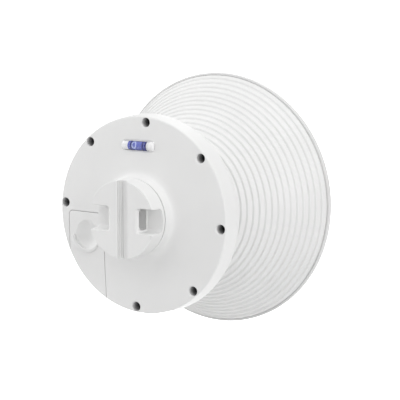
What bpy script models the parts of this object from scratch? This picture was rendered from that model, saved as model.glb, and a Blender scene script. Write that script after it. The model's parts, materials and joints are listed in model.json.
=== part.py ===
"""Outdoor wireless bridge: a round radio housing with a ribbed horn antenna, strapped to a pole.

Frame: +Y is the way the horn looks, +Z is up, and +X is to the right when seen from the pole.
The origin is the middle of the saddle face that bears on the pole.
All lengths below are in millimetres. They become metres when a mesh is finished.
A "depth" is a distance along +Y from the saddle face.
"""

from math import asin, atan2, cos, hypot, pi, radians, sin, sqrt

import bmesh
import bpy
from mathutils import Matrix, Vector

MM = 0.001
GAP = 0.3            # clearance between neighbouring pieces
ROUND = 40           # facets round the large turned pieces
HOLE_ROUND = 12      # facets round the holes that show
SCREW_ROUND = 8      # facets round screws and the holes they sit in

# Housing
FACE_DEPTH = 23.6    # rim of the rear face
FACE_CROWN = 3.2     # how far the middle of the rear face stands out
FACE_RADIUS = 66.2
SPLIT_DEPTH = 36.4   # rear edge of the joint between the two housing halves
SPLIT_RADIUS = 67.0
FRONT_DEPTH = 42.6   # front of the housing, where the horn is seated
BAND_RADIUS = 66.2   # front housing at the joint
NOSE_RADIUS = 64.8   # front housing at its front edge
WALL = 2.4
PLATE = 2.2          # front plate of the front housing
EDGE = 1.2           # rounding of the rear edge
THROAT_RADIUS = 23.5
SEAL_RADII = (56.2, 57.8)

# Pole saddle and its collar
SADDLE_RADIUS = 25.8
SADDLE_FOOT_RADIUS = 26.1
SADDLE_EDGE = 0.4              # chamfer round the bearing face
SADDLE_FOOT_DEPTH = 13.3
SPIGOT_RADIUS = 23.4
DIAPHRAGM_DEPTH = 20.4
COLLAR_RADIUS = 27.4
COLLAR_FILLET = 2.6
GROOVE_STEPS = 4
GROOVE_STEP = (0.85, 1.05)     # width and depth of one step of the V-groove
GROOVE_FLOOR = 2.7
SADDLE_OFFSET = 1.3            # the groove and the strap's way sit this far to +X of the block's axis
SLOT_X = 12.0                  # inner edge of the two strap pockets, from the groove's middle
SLOT_Z = (-7.8, 8.3)
STRAP_ROOF = (1.0, 5.2)        # depth of the passage's rear side at its ends and in its middle
STRAP_FLOOR = (9.6, 11.0)      # depth of a pocket's floor at its inner end and at the saddle's side
PASSAGE_FLOOR = (11.2, 10.4)   # half length and depth of the lower floor between the pockets
SADDLE_SCREW_XZ = 12.0

# Case screws
SCREW_COUNT = 8
SCREW_CIRCLE = 62.3
SCREW_TURN = -3.82             # degrees
WELL_RADIUS = 3.15
WELL_DEPTH = 34.6
HEAD_RADIUS = 2.7
HEAD_HEIGHT = 2.0
SHANK_RADIUS = 1.45
SCREW_TIP_DEPTH = 41.0

# Cable bay and its cover
COVER_X = (-59.0, -29.0)
COVER_TOP = -1.0
COVER_CORNER = 3.0
COVER_COLLAR_RADIUS = 31.5
COVER_SEAT_DEPTH = 25.4
COVER_SKIRT_DEPTH = 28.9
COVER_SKIRT_X = (-57.0, -31.6)
BAY_WALL = 1.4
BAY_FLOOR_DEPTH = 34.6
DISH_XZ = (-43.8, -16.4)
DISH_RADIUS = 9.6
DISH_DEPTH = 2.6
LIP_RADII = (9.8, 12.4)
LIP_ANGLES = (183.0, 323.0)    # degrees
LIP_DEPTH = 21.0
CABLE_X = -45.0
CABLE_DEPTH = 30.1
CABLE_HOLE_RADIUS = 3.5

# Spirit level
VIAL_X = (-14.7, 11.0)
VIAL_Z = 46.5
VIAL_DEPTH = 24.1
VIAL_RADIUS = 3.3
VIAL_BORE = 2.5
VIAL_END = 3.4                 # solid rounded end of the tube
CAP_X = 7.7                    # where the cap's head begins
STOPPER_X = 4.5                # where the cap's stopper ends
BUBBLE_RADIUS = 1.1
BUBBLE_LENGTH = 5.0
BUBBLE_X = -3.3
BUBBLE_RISE = 1.0
BUBBLE_TRAVEL = 3.0

# Horn and radome
RIM_RADIUS = 88.8
RIM_DEPTH = 121.15
RIM_FRONT = 124.3
TOTAL_DEPTH = 127.6
RIB_COUNT = 22
RIB_PITCH = (2.86, 3.5)        # how much each rib steps in, and how much it steps back
RIB_WALL = 1.26                # how much of the step-in is the rib's sloping wall
RIB_START = (87.5, 120.95)     # radius and depth of the first inner corner
MOUTH_LIP_DEPTH = 121.9
HORN_WALL = 2.07               # measured across the axis
LINER_WALL = 0.78
HORN_FOOT = (34.0, 1.6)        # radius and thickness of the flange on the housing
HORN_BORE = 24.0
RADOME_WALL = 2.0
RADOME_SEAT_DEPTH = 123.2

# Electronics
BOARD_DEPTHS = (38.3, 39.9)
BOARD_RADIUS = 55.0
JACK_X = (-52.75, -37.25)
JACK_Z = (0.5, 15.1)
JACK_DEPTHS = (25.9, 38.0)
SOCKET_WIDTH = 11.7
SOCKET_DEPTHS = (28.2, 35.4)
SOCKET_Z = 12.0
CONTACT_COUNT = 8
CONTACT_PITCH = 1.2
RESET_X = -35.4
RESET_DEPTH = 32.4
RESET_Z = (-2.2, 3.2)
RESET_RADIUS = 1.2
BOARD_SCREW_CIRCLE = 48.0
BOARD_SCREW_ANGLES = (60.0, 130.0, 240.0, 330.0)


# ---------------------------------------------------------------- helpers

def clear_scene():
    for obj in list(bpy.data.objects):
        bpy.data.objects.remove(obj)


def make_material(name, color, roughness, metallic=0.0, alpha=1.0):
    material = bpy.data.materials.new(name)
    material.use_nodes = True
    shader = material.node_tree.nodes["Principled BSDF"]
    shader.inputs["Base Color"].default_value = (*color, 1.0)
    shader.inputs["Roughness"].default_value = roughness
    shader.inputs["Metallic"].default_value = metallic
    shader.inputs["Alpha"].default_value = alpha
    material.diffuse_color = (*color, alpha)
    return material


def place(name, bm, material, location=(0, 0, 0), parent=None):
    """Turn a mesh made in millimetres into an object in metres, at a location in millimetres."""
    bmesh.ops.recalc_face_normals(bm, faces=bm.faces)
    bmesh.ops.scale(bm, vec=(MM, MM, MM), verts=bm.verts)
    mesh = bpy.data.meshes.new(name)
    bm.to_mesh(mesh)
    bm.free()
    return place_mesh(name, mesh, material, location, parent)


def place_mesh(name, mesh, material, location=(0, 0, 0), parent=None):
    if not mesh.materials:
        mesh.materials.append(material)
    mesh.shade_smooth()
    mesh.set_sharp_from_angle(angle=radians(30))
    obj = bpy.data.objects.new(name, mesh)
    obj.location = Vector(location) * MM
    obj.parent = parent
    bpy.context.scene.collection.objects.link(obj)
    return obj


def empty(name, location, parent=None):
    obj = bpy.data.objects.new(name, None)
    obj.empty_display_size = 0.01
    obj.location = Vector(location) * MM
    obj.parent = parent
    bpy.context.scene.collection.objects.link(obj)
    return obj


def tool(name, bm):
    """A cutter or filler for a Boolean. It isn't part of the model."""
    obj = place(name, bm, None)
    obj.hide_render = True
    obj.display_type = "WIRE"
    return obj


def apply_tool(target, bm, operation, name):
    modifier = target.modifiers.new(name, "BOOLEAN")
    modifier.operation = operation
    modifier.solver = "EXACT"
    modifier.object = tool(f"{target.name}_{name}", bm)


def cut(target, bm, name):
    apply_tool(target, bm, "DIFFERENCE", name)


def join(target, bm, name):
    apply_tool(target, bm, "UNION", name)


def turned(profile, facets=ROUND, along=(0, 1, 0)):
    """Spin (radius, height) points about an axis. The outline closes itself unless it starts
    and ends on the axis."""
    bm = bmesh.new()
    verts = [bm.verts.new((radius, height, 0)) for radius, height in profile]
    pairs = list(zip(verts, verts[1:]))
    if profile[0][0] > 0 or profile[-1][0] > 0:
        pairs.append((verts[-1], verts[0]))
    edges = [bm.edges.new(pair) for pair in pairs]
    bmesh.ops.spin(bm, geom=verts + edges, cent=(0, 0, 0), axis=(0, 1, 0), angle=2 * pi,
                   steps=facets, use_merge=True)
    bmesh.ops.remove_doubles(bm, verts=bm.verts, dist=1e-4)
    turn = Vector((0, 1, 0)).rotation_difference(Vector(along)).to_matrix()
    bmesh.ops.rotate(bm, cent=(0, 0, 0), matrix=turn, verts=bm.verts)
    return bm


def rod(radius, low, high, facets=SCREW_ROUND, along=(0, 1, 0)):
    return turned([(0, low), (radius, low), (radius, high), (0, high)], facets, along)


def prism(outline, low, high, along="Y"):
    """Extrude a flat outline. Its points are (x, z) along Y, and (x, y) along Z."""
    bm = bmesh.new()
    if along == "Y":
        verts = [bm.verts.new((a, low, b)) for a, b in outline]
        travel = (0, high - low, 0)
    else:
        verts = [bm.verts.new((a, b, low)) for a, b in outline]
        travel = (0, 0, high - low)
    face = bm.faces.new(verts)
    grown = bmesh.ops.extrude_face_region(bm, geom=[face])
    moved = [item for item in grown["geom"] if isinstance(item, bmesh.types.BMVert)]
    bmesh.ops.translate(bm, vec=travel, verts=moved)
    return bm


def block(low, high, bevel=0.0):
    """A box between two corners, with its edges bevelled where asked."""
    bm = bmesh.new()
    size = Vector(high) - Vector(low)
    middle = (Vector(high) + Vector(low)) / 2
    bmesh.ops.create_cube(bm, size=1, matrix=Matrix.LocRotScale(middle, None, size))
    if bevel:
        bmesh.ops.bevel(bm, geom=bm.edges[:], offset=bevel, segments=1, affect="EDGES",
                        profile=0.5)
    return bm


def gather(parts):
    """Several separate closed meshes, each moved by its own offset, as one Boolean tool."""
    whole = bmesh.new()
    for bm, offset in parts:
        bmesh.ops.translate(bm, vec=offset, verts=bm.verts)
        bmesh.ops.recalc_face_normals(bm, faces=bm.faces)
        part = bpy.data.meshes.new("part")
        bm.to_mesh(part)
        bm.free()
        whole.from_mesh(part)
        bpy.data.meshes.remove(part)
    return whole


def shifted(bm, offset):
    bmesh.ops.translate(bm, vec=offset, verts=bm.verts)
    return bm


def arc(centre, radius, start, end, steps):
    """Points along an arc, from one angle to another in degrees."""
    angles = [radians(start + (end - start) * i / steps) for i in range(steps + 1)]
    return [(centre[0] + radius * cos(a), centre[1] + radius * sin(a)) for a in angles]


def angle_of(x, z):
    """Direction of a point in degrees, from 0 to 360."""
    return atan2(z, x) * 180 / pi % 360


def on_circle(radius, angle, depth=0.0):
    return (radius * cos(radians(angle)), depth, radius * sin(radians(angle)))


# ---------------------------------------------------------------- shared geometry

def face_depth(radius):
    """Depth of the crowned rear face at a distance from the axis."""
    return FACE_DEPTH - FACE_CROWN * (1 - (radius / FACE_RADIUS) ** 2)


def face_profile(start):
    """The rear face from a radius out to its rounded edge."""
    end = FACE_RADIUS - EDGE
    steps = 4
    crown = [start + (end - start) * i / steps for i in range(steps)]
    points = [(radius, face_depth(radius)) for radius in crown]
    corner = (end, face_depth(end) + EDGE)
    return points + arc(corner, EDGE, -90, 0, 3)


def wall_radius(depth):
    """Outer radius of the rear cover's drafted wall."""
    top = FACE_DEPTH + EDGE
    return FACE_RADIUS + (SPLIT_RADIUS - FACE_RADIUS) * (depth - top) / (SPLIT_DEPTH - top)


def screw_angles():
    return [SCREW_TURN + i * 360 / SCREW_COUNT for i in range(SCREW_COUNT)]


def cover_outline(inset, rim):
    """The cable cover as seen from behind, drawn in by inset, out to the circle of radius rim."""
    left = COVER_X[0] + inset
    right = COVER_X[1] - inset
    top = COVER_TOP - inset
    hub = COVER_COLLAR_RADIUS + inset
    corner = max(COVER_CORNER - inset, 0.5)
    outline = arc((left + corner, top - corner), corner, 180, 90, 3)
    hub_start = angle_of(-sqrt(hub ** 2 - top ** 2), top)
    hub_end = angle_of(right, -sqrt(hub ** 2 - right ** 2))
    outline += arc((0, 0), hub, hub_start, hub_end, 3)
    rim_start = angle_of(right, -sqrt(rim ** 2 - right ** 2))
    rim_end = angle_of(left, -sqrt(rim ** 2 - left ** 2))
    outline += arc((0, 0), rim, rim_start, rim_end, 8)
    return outline


def horn_inside(depth):
    """Inner radius of the horn shell at a depth."""
    slope = RIB_PITCH[0] / RIB_PITCH[1]
    return RIB_START[0] - (RIB_START[1] - depth) * slope - HORN_WALL


# ---------------------------------------------------------------- housing

def make_rear_cover(material, parent):
    inner = FACE_RADIUS - WALL
    foot = COLLAR_RADIUS + COLLAR_FILLET
    flare = arc((foot, face_depth(foot) - COLLAR_FILLET), COLLAR_FILLET, 180, 90, 4)
    profile = [
        (0, DIAPHRAGM_DEPTH),
        (SPIGOT_RADIUS + GAP, DIAPHRAGM_DEPTH),
        (SPIGOT_RADIUS + GAP, SADDLE_FOOT_DEPTH + GAP),
        (SADDLE_FOOT_RADIUS, SADDLE_FOOT_DEPTH + GAP),
        (SADDLE_FOOT_RADIUS + 0.5, SADDLE_FOOT_DEPTH + 1.8),
        *flare,
        *face_profile(foot + 2),
        (SPLIT_RADIUS, SPLIT_DEPTH),
        (SPLIT_RADIUS - WALL, SPLIT_DEPTH),
        (inner, FACE_DEPTH + WALL + 0.8),
        (SEAL_RADII[1], FACE_DEPTH + WALL),
        (SEAL_RADII[1], SPLIT_DEPTH),
        (SEAL_RADII[0], SPLIT_DEPTH),
        (SEAL_RADII[0], FACE_DEPTH + WALL - 0.4),
        (foot, FACE_DEPTH + 0.9),
        (COLLAR_RADIUS - 1, DIAPHRAGM_DEPTH + WALL),
        (0, DIAPHRAGM_DEPTH + WALL),
    ]
    cover = place("rear_cover", turned(profile), material, parent=parent)

    boss_start = FACE_DEPTH + 1.4
    bosses = [(rod(WELL_RADIUS + 0.75, boss_start, SPLIT_DEPTH), on_circle(SCREW_CIRCLE, angle))
              for angle in screw_angles() if not 200 < angle < 240]
    join(cover, gather(bosses), "screw_bosses")
    join(cover, prism(cover_outline(-1.2, inner + 1), FACE_DEPTH + 0.4, SPLIT_DEPTH), "bay_block")
    tub_depth = VIAL_DEPTH + VIAL_RADIUS + 1.8
    join(cover, prism(level_outline(GAP + 1.5), FACE_DEPTH, tub_depth), "level_tub")

    cut(cover, prism(cover_outline(-GAP, SPLIT_RADIUS + 4), 15, COVER_SEAT_DEPTH + GAP), "bay_mouth")
    cut(cover, prism(cover_outline(BAY_WALL, inner - 0.4), 16, BAY_FLOOR_DEPTH), "bay_hollow")
    skirt = (COVER_SKIRT_X[0] - GAP, COVER_SKIRT_X[1] + GAP)
    cut(cover, block((skirt[0], 17, -SPLIT_RADIUS - 3), (skirt[1], COVER_SKIRT_DEPTH + GAP, -28)),
        "skirt_gap")
    cut(cover, cable_hole(), "cable_hole")

    openings = [(prism(level_outline(GAP), 15, VIAL_DEPTH + VIAL_RADIUS + GAP), (0, 0, 0))]
    well = [(0, 15), (WELL_RADIUS, 15), (WELL_RADIUS, WELL_DEPTH),
            (SHANK_RADIUS + GAP, WELL_DEPTH), (SHANK_RADIUS + GAP, SPLIT_DEPTH + 1),
            (0, SPLIT_DEPTH + 1)]
    openings += [(turned(well, HOLE_ROUND), on_circle(SCREW_CIRCLE, a)) for a in screw_angles()]
    openings += [(rod(SHANK_RADIUS + GAP, DIAPHRAGM_DEPTH - 1, DIAPHRAGM_DEPTH + WALL + 1), xz)
                 for xz in saddle_screw_places()]
    half_mouth = SOCKET_WIDTH / 2 + 0.5
    openings.append((block((CABLE_X - half_mouth, SOCKET_DEPTHS[0] - 1.4, COVER_TOP - BAY_WALL - 1),
                           (CABLE_X + half_mouth, BAY_FLOOR_DEPTH - 0.2, JACK_Z[0] + 0.2)),
                     (0, 0, 0)))
    openings.append((rod(RESET_RADIUS + GAP, -4, 1, SCREW_ROUND, (0, 0, 1)),
                     (RESET_X, RESET_DEPTH, 0)))
    cut(cover, gather(openings), "openings")
    return cover


def level_outline(margin):
    """A round-cornered box round the spirit level as seen from behind, with a margin."""
    half = VIAL_RADIUS + margin
    low, high = VIAL_X[0] - margin, VIAL_X[1] + margin
    corner = 1.2 + margin
    outline = []
    for x, z, start in ((high - corner, half - corner, 0), (low + corner, half - corner, 90),
                        (low + corner, corner - half, 180), (high - corner, corner - half, 270)):
        outline += arc((x, VIAL_Z + z), corner, start, start + 90, 2)
    return outline


def cable_hole():
    hole = rod(CABLE_HOLE_RADIUS, -SPLIT_RADIUS - 8, -36, HOLE_ROUND, (0, 0, 1))
    bmesh.ops.translate(hole, vec=(CABLE_X, CABLE_DEPTH, 0), verts=hole.verts)
    return hole


def saddle_screw_places():
    side = (-SADDLE_SCREW_XZ, SADDLE_SCREW_XZ)
    return [(x, 0, z) for x in side for z in side]


def board_screw_places(depth=0.0):
    return [on_circle(BOARD_SCREW_CIRCLE, angle, depth) for angle in BOARD_SCREW_ANGLES]


def make_front_housing(material, parent):
    rear = SPLIT_DEPTH + GAP
    plate_depth = FRONT_DEPTH - PLATE
    profile = [
        (BAND_RADIUS, rear),
        (NOSE_RADIUS + 0.3, FRONT_DEPTH - 1.2),
        (NOSE_RADIUS - 0.8, FRONT_DEPTH),
        (THROAT_RADIUS, FRONT_DEPTH),
        (THROAT_RADIUS, plate_depth),
        (BAND_RADIUS - WALL - 0.6, plate_depth),
        (BAND_RADIUS - WALL, rear),
    ]
    housing = place("front_housing", turned(profile), material, parent=parent)
    bosses = [(rod(SHANK_RADIUS + 1.4, rear, plate_depth + 1), on_circle(SCREW_CIRCLE, angle))
              for angle in screw_angles()]
    join(housing, gather(bosses), "screw_bosses")
    pilots = [(rod(SHANK_RADIUS + GAP, rear - 1, SCREW_TIP_DEPTH + GAP),
               on_circle(SCREW_CIRCLE, angle)) for angle in screw_angles()]
    pilots += [(rod(1.55, plate_depth - 1, FRONT_DEPTH - 0.4), place_of)
               for place_of in board_screw_places()]
    cut(housing, gather(pilots), "pilot_holes")


def make_body_gasket(material, parent):
    low = SPLIT_DEPTH + GAP
    high = FRONT_DEPTH - PLATE - GAP
    profile = [(SEAL_RADII[0], low), (SEAL_RADII[1], low), (SEAL_RADII[1], high),
               (SEAL_RADII[0], high)]
    place("body_gasket", turned(profile), material, parent=parent)


def make_screws(material, parent):
    """Case screws, saddle screws and board screws. The copies of each kind share one mesh."""
    kinds = [
        ("rear_screw", HEAD_RADIUS, HEAD_HEIGHT, SHANK_RADIUS, SCREW_TIP_DEPTH - WELL_DEPTH,
         [on_circle(SCREW_CIRCLE, angle, WELL_DEPTH) for angle in screw_angles()], 1),
        ("board_screw", 2.5, 1.6, 1.25, 3.9,
         board_screw_places(BOARD_DEPTHS[0] - GAP), 1),
        ("saddle_screw", 2.5, 1.8, SHANK_RADIUS, 8.2,
         [(x, DIAPHRAGM_DEPTH + WALL, z) for x, _, z in saddle_screw_places()], -1),
    ]
    for name, head, height, shank, length, places, way in kinds:
        profile = [(0, -height), (0.7 * head, -height), (head, -0.4 * height), (head, -GAP),
                   (shank, -GAP), (shank, length), (0, length)]
        profile = [(radius, way * height) for radius, height in profile]
        first = None
        for number, centre in enumerate(places, 1):
            if first is None:
                first = place(f"{name}_{number}", turned(profile, SCREW_ROUND), material, centre,
                              parent)
            else:
                place_mesh(f"{name}_{number}", first.data, material, centre, parent)


# ---------------------------------------------------------------- pole saddle

def make_pole_saddle(material, parent):
    profile = [
        (0, 0),
        (SADDLE_RADIUS - SADDLE_EDGE, 0),
        (SADDLE_RADIUS, SADDLE_EDGE),
        (SADDLE_FOOT_RADIUS, SADDLE_FOOT_DEPTH),
        (SPIGOT_RADIUS, SADDLE_FOOT_DEPTH),
        (SPIGOT_RADIUS, DIAPHRAGM_DEPTH - GAP),
        (0, DIAPHRAGM_DEPTH - GAP),
    ]
    saddle = place("pole_saddle", turned(profile), material, parent=parent)
    aside = (SADDLE_OFFSET, 0, 0)
    groove = prism(groove_outline(), -SADDLE_RADIUS - 5, SADDLE_RADIUS + 5, "Z")
    cut(saddle, shifted(groove, aside), "pole_groove")
    strap = prism(strap_outline(), SLOT_Z[0], SLOT_Z[1], "Z")
    long_edges = [e for e in strap.edges if abs(e.verts[0].co.z - e.verts[1].co.z) < 0.01]
    bmesh.ops.bevel(strap, geom=long_edges, offset=1.6, segments=2, affect="EDGES", profile=0.5,
                    clamp_overlap=True)
    cut(saddle, shifted(strap, aside), "strap_passage")
    reach, floor = PASSAGE_FLOOR
    lower = block((-reach, STRAP_ROOF[1] + 0.8, SLOT_Z[0]), (reach, floor, SLOT_Z[1]), 0.8)
    cut(saddle, shifted(lower, aside), "passage_floor")
    pilots = [(rod(SHANK_RADIUS + GAP, DIAPHRAGM_DEPTH - 6.6, DIAPHRAGM_DEPTH + 1), place_of)
              for place_of in saddle_screw_places()]
    cut(saddle, gather(pilots), "pilot_holes")


def groove_outline():
    """The stepped V-groove in plan: down the steps on the left, then up those on the right."""
    width, depth = GROOVE_STEP
    left = [(-GROOVE_FLOOR / 2 - width * (GROOVE_STEPS - 1), -2)]
    for i in range(GROOVE_STEPS):
        x = -GROOVE_FLOOR / 2 - width * (GROOVE_STEPS - 1 - i)
        if i:
            left.append((x, i * depth))
        left.append((x, (i + 1) * depth))
    return left + [(-x, y) for x, y in reversed(left)]


def strap_outline():
    """The strap's way through the saddle in plan: two pockets open to the rear and to the
    side, joined by a passage that arches behind the groove."""
    outer = SADDLE_FOOT_RADIUS + 3
    roof_end, roof_middle = STRAP_ROOF
    floor_inner, floor_side = STRAP_FLOOR
    steps = 6
    roof = [(SLOT_X * (1 - 2 * i / steps),
             roof_middle - (roof_middle - roof_end) * (1 - 2 * i / steps) ** 2)
            for i in range(steps + 1)]
    drop = (floor_side - floor_inner) / (SADDLE_RADIUS - SLOT_X)
    end = floor_inner + drop * (outer - SLOT_X)
    floor = [(-outer, end), (-SLOT_X, floor_inner), (SLOT_X, floor_inner), (outer, end)]
    return [(outer, -4), (SLOT_X, -4), *roof, (-SLOT_X, -4), (-outer, -4), *floor]


# ---------------------------------------------------------------- cable cover

def make_cable_cover(material, parent):
    origin = Vector((CABLE_X, COVER_SEAT_DEPTH, COVER_TOP))
    slide = empty("cable_cover_slide", origin, parent)
    inner = FACE_RADIUS - WALL
    profile = [(0, face_depth(0)), *face_profile(20),
               (wall_radius(COVER_SKIRT_DEPTH), COVER_SKIRT_DEPTH),
               (inner, COVER_SKIRT_DEPTH), (inner, COVER_SEAT_DEPTH), (0, COVER_SEAT_DEPTH)]
    cover = place("cable_cover", shifted(turned(profile), -origin), material, parent=slide)
    apply_tool(cover, prism(cover_outline(0, SPLIT_RADIUS + 4), 15, 35), "INTERSECT", "outline")

    low = -SPLIT_RADIUS - 4
    ends = [(block((COVER_X[0] - 2, COVER_SEAT_DEPTH, low), (COVER_SKIRT_X[0], 32, 0)), (0, 0, 0)),
            (block((COVER_SKIRT_X[1], COVER_SEAT_DEPTH, low), (COVER_X[1] + 2, 32, 0)), (0, 0, 0))]
    cut(cover, gather(ends), "skirt_ends")

    x, z = DISH_XZ
    middle = (x, 0, z)
    face = face_depth(hypot(x, z))
    pad = rod(DISH_RADIUS + 1.4, COVER_SEAT_DEPTH - 1, COVER_SKIRT_DEPTH - GAP, 24)
    join(cover, shifted(pad, middle), "thumb_pad")
    ball = (DISH_RADIUS ** 2 + DISH_DEPTH ** 2) / (2 * DISH_DEPTH)
    reach = asin((DISH_RADIUS + 1) / ball) * 180 / pi
    bowl = arc((0, face + DISH_DEPTH - ball), ball, 90 - reach, 90, 6)
    dish = turned([(0, 17), (bowl[0][0], 17), *bowl[:-1], (0, face + DISH_DEPTH)], 24)
    cut(cover, shifted(dish, middle), "thumb_dish")
    join(cover, prism(lip_outline(), LIP_DEPTH, face + 1.2), "thumb_lip")
    cut(cover, cable_hole(), "cable_hole")


def lip_outline():
    """The curved lip under the thumb dish, a sector of a ring about the dish."""
    start, end = LIP_ANGLES
    return arc(DISH_XZ, LIP_RADII[1], start, end, 12) + arc(DISH_XZ, LIP_RADII[0], end, start, 12)


# ---------------------------------------------------------------- spirit level

def make_level(clear, blue, air, white, parent):
    along = (1, 0, 0)
    low, high = VIAL_X
    middle = (0, VIAL_DEPTH, VIAL_Z)
    bore_start = low + VIAL_END
    nose = arc((low + 1.6, VIAL_RADIUS - 1.6), 1.6, 180, 90, 2)
    tube = [(0, low), *[(radius, x) for x, radius in nose], (VIAL_RADIUS, CAP_X - GAP),
            (VIAL_BORE, CAP_X - GAP), (VIAL_BORE, bore_start), (0, bore_start)]
    place("vial_tube", turned(tube, HOLE_ROUND, along), clear, middle, parent)

    cap_end = arc((high - 2.2, VIAL_RADIUS - 2.2), 2.2, 90, 0, 2)
    cap = [(0, STOPPER_X), (VIAL_BORE - GAP, STOPPER_X), (VIAL_BORE - GAP, CAP_X),
           (VIAL_RADIUS, CAP_X), *[(radius, x) for x, radius in cap_end], (0, high)]
    place("vial_cap", turned(cap, HOLE_ROUND, along), white, middle, parent)

    filling = rod(VIAL_BORE - GAP, bore_start + GAP, STOPPER_X - GAP, HOLE_ROUND, along)
    liquid = place("vial_liquid", filling, blue, middle, parent)
    reach = BUBBLE_LENGTH / 2 + BUBBLE_TRAVEL + GAP
    half = BUBBLE_RADIUS + GAP
    channel = block((BUBBLE_X - reach, -half, BUBBLE_RISE - half), (BUBBLE_X + reach, half, 4))
    cut(liquid, shifted(channel, middle), "bubble_channel")

    slide = empty("bubble_slide", (BUBBLE_X, VIAL_DEPTH, VIAL_Z + BUBBLE_RISE), parent)
    straight = BUBBLE_LENGTH / 2 - BUBBLE_RADIUS
    tip = arc((straight, 0), BUBBLE_RADIUS, 90, 0, 3)
    bubble = [(0, -BUBBLE_LENGTH / 2), *[(radius, -x) for x, radius in reversed(tip[:-1])],
              *[(radius, x) for x, radius in tip[:-1]], (0, BUBBLE_LENGTH / 2)]
    place("vial_bubble", turned(bubble, SCREW_ROUND, along), air, parent=slide)


# ---------------------------------------------------------------- horn

def make_horn(white, metal, rubber, parent):
    radius, depth = RIB_START
    outside = [(radius, MOUTH_LIP_DEPTH)]
    for _ in range(RIB_COUNT):
        outside.append((radius, depth))
        outside.append((radius - RIB_WALL, depth - RIB_PITCH[1]))
        radius -= RIB_PITCH[0]
        depth -= RIB_PITCH[1]
    foot_radius, foot_height = HORN_FOOT
    foot_rear = FRONT_DEPTH + GAP
    outside.pop()
    outside += [(outside[-1][0] - 0.6, foot_rear + foot_height),
                (foot_radius, foot_rear + foot_height), (foot_radius, foot_rear)]
    bore_end = HORN_BORE + HORN_WALL
    knee = RIB_START[1] - (RIB_START[0] - bore_end) * RIB_PITCH[1] / RIB_PITCH[0]
    inside = [(HORN_BORE, foot_rear), (HORN_BORE, knee), (horn_inside(RIB_START[1]), RIB_START[1]),
              (horn_inside(RIB_START[1]), MOUTH_LIP_DEPTH)]
    place("horn_shell", turned(outside + inside), white, parent=parent)

    clear = GAP + 0.09
    near = HORN_BORE - GAP
    liner_start = knee + 0.4
    mouth = horn_inside(RIB_START[1])
    liner = [(near, foot_rear + 1), (near, liner_start), (mouth - clear, RIB_START[1] + 0.4),
             (mouth - clear - LINER_WALL, RIB_START[1] + 0.4),
             (near - LINER_WALL, liner_start + 0.4), (near - LINER_WALL, foot_rear + 1)]
    place("horn_liner", turned(liner), metal, parent=parent)

    gasket_rear = MOUTH_LIP_DEPTH + GAP
    gasket_front = RADOME_SEAT_DEPTH - GAP
    gasket = [(mouth + 0.2, gasket_rear), (RIB_START[0] - 0.2, gasket_rear),
              (RIB_START[0] - 0.2, gasket_front), (mouth + 0.2, gasket_front)]
    place("radome_gasket", turned(gasket), rubber, parent=parent)


def make_radome(material, parent):
    skirt_inner = RIB_START[0] + GAP
    edge = 0.6
    dome_radius = RIM_RADIUS - edge
    dome_rise = TOTAL_DEPTH - RIM_FRONT
    ball = (dome_radius ** 2 + dome_rise ** 2) / (2 * dome_rise)
    reach = asin(dome_radius / ball) * 180 / pi
    centre = (0, TOTAL_DEPTH - ball)
    outside = arc(centre, ball, 90 - reach, 90, 4)[:-1]
    inner_reach = asin((skirt_inner - 2.4) / (ball - RADOME_WALL)) * 180 / pi
    inside = arc(centre, ball - RADOME_WALL, 90, 90 - inner_reach, 3)[1:-1]
    profile = [(0, TOTAL_DEPTH - RADOME_WALL), *inside, (skirt_inner - 2.6, RADOME_SEAT_DEPTH),
               (skirt_inner, RADOME_SEAT_DEPTH), (skirt_inner, RIM_DEPTH),
               (RIM_RADIUS - 0.2, RIM_DEPTH), (RIM_RADIUS, RIM_DEPTH + 0.3),
               (RIM_RADIUS, RIM_FRONT - edge), *outside, (0, TOTAL_DEPTH)]
    place("radome", turned(profile), material, parent=parent)


def make_feed(metal, plastic, parent):
    rear = BOARD_DEPTHS[1] + GAP
    patch_rear = rear + 3.8
    place("patch_spacer", rod(4.0, rear, patch_rear - GAP, HOLE_ROUND), plastic, parent=parent)
    place("patch_radiator", rod(13.5, patch_rear, patch_rear + 0.8, 24), metal, parent=parent)


# ---------------------------------------------------------------- electronics

def make_board(material, parent):
    board = place("main_board", rod(BOARD_RADIUS, *BOARD_DEPTHS, ROUND), material, parent=parent)
    holes = [(rod(1.55, BOARD_DEPTHS[0] - 1, BOARD_DEPTHS[1] + 1), place_of)
             for place_of in board_screw_places()]
    cut(board, gather(holes), "screw_holes")


def make_components(shield, chip, led, parent):
    top = BOARD_DEPTHS[0] - GAP
    can = place("rf_shield", block((0, 34, -18), (36, top, 18), 0.4), shield, parent=parent)
    cut(can, block((0.5, 34.5, -17.5), (35.5, top + 2, 17.5)), "shield_hollow")
    place("processor", block((12, 36.5, -6), (24, top, 6), 0.2), chip, parent=parent)
    place("ethernet_transformer", block((-32, 32.5, 18), (-16, top, 30), 0.3), chip, parent=parent)
    for number in range(4):
        x = -14 + 8 * number
        place(f"status_led_{number + 1}", block((-1, -0.8, -0.6), (1, 0, 0.6)), led,
              (x, top, -48), parent)


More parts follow.
